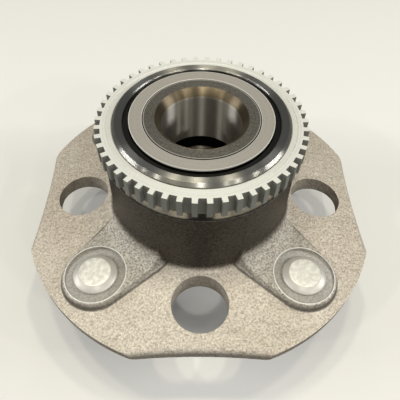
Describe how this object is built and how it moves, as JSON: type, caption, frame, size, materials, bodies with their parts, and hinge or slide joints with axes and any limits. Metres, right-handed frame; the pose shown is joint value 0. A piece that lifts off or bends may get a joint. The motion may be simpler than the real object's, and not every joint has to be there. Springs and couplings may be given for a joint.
{
  "type": "wheel hub bearing",
  "caption": "Rear wheel hub bearing unit with a forged turning flange, pressed-in wheel studs, toothed speed-sensor ring, double-row ball bearing and two seals on a fixed spindle bore",
  "frame": {"origin": "on the spindle axis in the wheel-mounting face of the flange", "axes": "+Z runs inboard along the spindle axis, away from the wheel; +X and +Y run through two of the four access holes of the flange; metres"},
  "size_m": [0.1404, 0.1404, 0.0894],
  "materials": {
    "forged_hub": "forged steel with a fine grit-blasted grain, turned bright where it fits",
    "stud_steel": "bright plated steel",
    "tone_ring_steel": "sintered steel, satin with a turned face",
    "spring_steel": "blued strip",
    "bearing_steel": "ground and hardened, oiled",
    "cage_polyamide": "glass-filled polyamide",
    "seal_sheet": "pressed sheet steel",
    "seal_rubber": "moulded nitrile rubber",
    "ball_steel": "polished balls"
  },
  "bodies": {
    "hub": {"hub_flange": "forged_hub", "tone_ring": "tone_ring_steel", "wheel_stud_1": "stud_steel", "wheel_stud_2": "stud_steel", "wheel_stud_3": "stud_steel", "wheel_stud_4": "stud_steel", "seal_case_inboard": "seal_sheet", "seal_case_outboard": "seal_sheet", "seal_lip_inboard": "seal_rubber", "seal_lip_outboard": "seal_rubber"},
    "inner_rings": {"inner_ring_inboard": "bearing_steel", "inner_ring_outboard": "bearing_steel", "inner_ring_clip": "spring_steel", "seal_slinger_inboard": "seal_sheet", "seal_slinger_outboard": "seal_sheet"},
    "cage_set_inboard": {"ball_cage_inboard": "cage_polyamide", "ball_inboard_01": "ball_steel", "ball_inboard_02": "ball_steel", "ball_inboard_03": "ball_steel", "ball_inboard_04": "ball_steel", "ball_inboard_05": "ball_steel", "ball_inboard_06": "ball_steel", "ball_inboard_07": "ball_steel", "ball_inboard_08": "ball_steel", "ball_inboard_09": "ball_steel", "ball_inboard_10": "ball_steel", "ball_inboard_11": "ball_steel", "ball_inboard_12": "ball_steel"},
    "cage_set_outboard": {"ball_cage_outboard": "cage_polyamide", "ball_outboard_01": "ball_steel", "ball_outboard_02": "ball_steel", "ball_outboard_03": "ball_steel", "ball_outboard_04": "ball_steel", "ball_outboard_05": "ball_steel", "ball_outboard_06": "ball_steel", "ball_outboard_07": "ball_steel", "ball_outboard_08": "ball_steel", "ball_outboard_09": "ball_steel", "ball_outboard_10": "ball_steel", "ball_outboard_11": "ball_steel", "ball_outboard_12": "ball_steel"}
  },
  "joints": [
    {"name": "inner_ring_spin", "type": "hinge", "parent": "hub", "child": "inner_rings", "pos_m": [0, 0, 0.0265], "axis": [0, 0, 1], "continuous": true},
    {"name": "cage_spin_inboard", "type": "hinge", "parent": "hub", "child": "cage_set_inboard", "pos_m": [0, 0, 0.0355], "axis": [0, 0, 1], "continuous": true},
    {"name": "cage_spin_outboard", "type": "hinge", "parent": "hub", "child": "cage_set_outboard", "pos_m": [0, 0, 0.0175], "axis": [0, 0, 1], "continuous": true}
  ],
  "couplings": [
    {"joint": "cage_spin_inboard", "follows": "inner_ring_spin", "ratio": 0.4121},
    {"joint": "cage_spin_outboard", "follows": "inner_ring_spin", "ratio": 0.4121}
  ]
}
